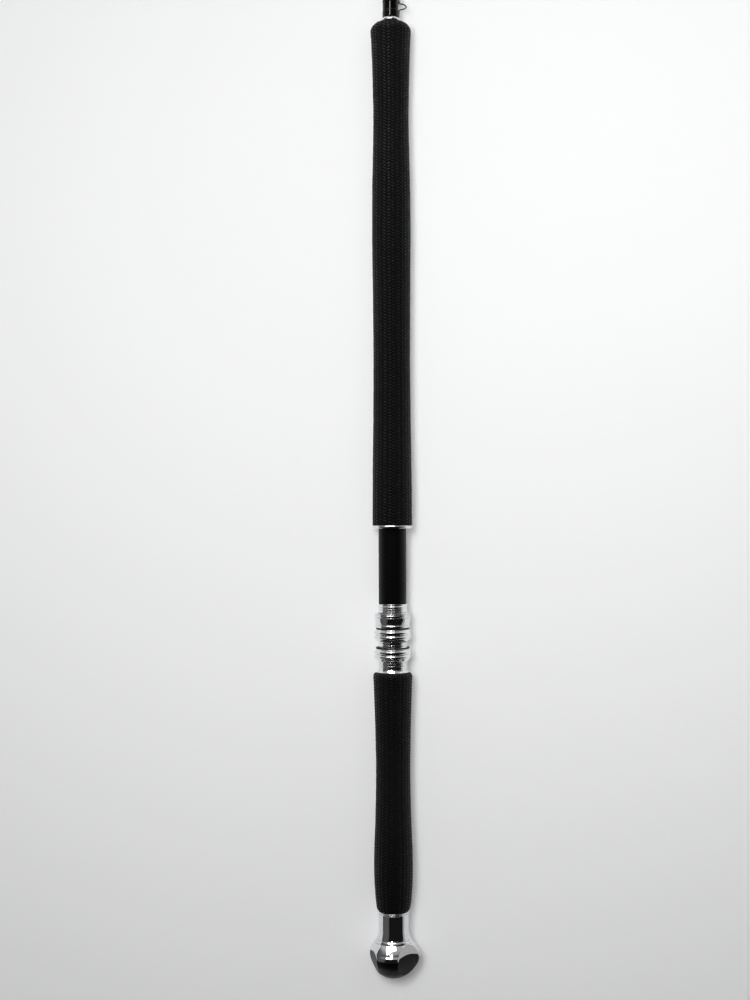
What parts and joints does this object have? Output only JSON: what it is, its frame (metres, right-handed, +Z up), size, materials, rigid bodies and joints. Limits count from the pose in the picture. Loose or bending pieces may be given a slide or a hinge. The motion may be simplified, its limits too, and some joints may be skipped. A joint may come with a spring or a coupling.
{
  "type": "spinning rod butt section",
  "caption": "Butt section of a heavy spinning rod: carbon blank, woven grips, pipe reel seat with sliding hood and lock nuts, hook keeper, and a crown butt cap with flats.",
  "frame": {"origin": "on the rod axis at the face of the fixed hood, where the reel foot starts", "axes": "+Y along the rod towards its tip, +Z up and away from the reel foot, +X towards the hook keeper"},
  "size_m": [0.0468, 0.9676, 0.0472],
  "materials": {
    "gloss_carbon": "clear-coated black carbon tube",
    "thread_wrap": "dark thread winding under clear resin",
    "keeper_wire": "bent stainless wire",
    "polished_aluminium": "turned and polished bright",
    "woven_sleeve": "black shrink tube with a raised herringbone braid",
    "grip_foam": "dense foam",
    "seat_carbon": "fine black weave under gloss",
    "black_nylon": "moulded nylon",
    "arbor_foam": "rigid foam bushing",
    "black_rubber": "smooth satin rubber",
    "steel": "plain machined steel"
  },
  "bodies": {
    "rod": {"blank": "gloss_carbon", "ferrule_wrap": "thread_wrap", "keeper_wrap_front": "thread_wrap", "keeper_wrap_rear": "thread_wrap", "hook_keeper": "keeper_wire", "winding_check": "polished_aluminium", "foregrip_core": "grip_foam", "foregrip_sleeve": "woven_sleeve", "fixed_hood": "polished_aluminium", "fixed_hood_cushion": "black_nylon", "seat_pipe": "seat_carbon", "threaded_barrel": "polished_aluminium", "seat_arbor_front": "arbor_foam", "seat_arbor_middle": "arbor_foam", "seat_arbor_rear": "arbor_foam", "seat_collar": "polished_aluminium", "rear_grip_core": "grip_foam", "rear_grip_sleeve": "woven_sleeve", "neck_ring": "polished_aluminium", "butt_hub": "polished_aluminium", "butt_arbor": "arbor_foam", "butt_dome": "black_rubber", "dome_stud": "steel", "stud_nut": "steel"},
    "hood": {"movable_hood": "polished_aluminium", "movable_hood_cushion": "black_nylon", "hood_washer": "black_nylon"},
    "front_nut": {"front_lock_nut": "polished_aluminium"},
    "rear_washer": {"rear_nut_washer": "black_nylon"},
    "rear_nut": {"rear_lock_nut": "polished_aluminium"}
  },
  "joints": [
    {"name": "hood_travel", "type": "slide", "parent": "rod", "child": "hood", "axis": [0, 1, 0], "range_m": [-0.00301, 0.01681]},
    {"name": "front_nut_turn", "type": "hinge", "parent": "hood", "child": "front_nut", "pos_m": [0, -0.0997, 0], "axis": [0, 1, 0], "range_deg": [-450, 2520]},
    {"name": "rear_washer_travel", "type": "slide", "parent": "rod", "child": "rear_washer", "axis": [0, 1, 0], "range_m": [-0.00721, 0.00241]},
    {"name": "rear_nut_turn", "type": "hinge", "parent": "rear_washer", "child": "rear_nut", "pos_m": [0, -0.1178, 0], "axis": [0, 1, 0], "range_deg": [-1080, 360]}
  ],
  "couplings": [
    {"joint": "hood_travel", "follows": "front_nut_turn", "m_per_rad": 0.00038197},
    {"joint": "rear_washer_travel", "follows": "rear_nut_turn", "m_per_rad": 0.00038197}
  ]
}
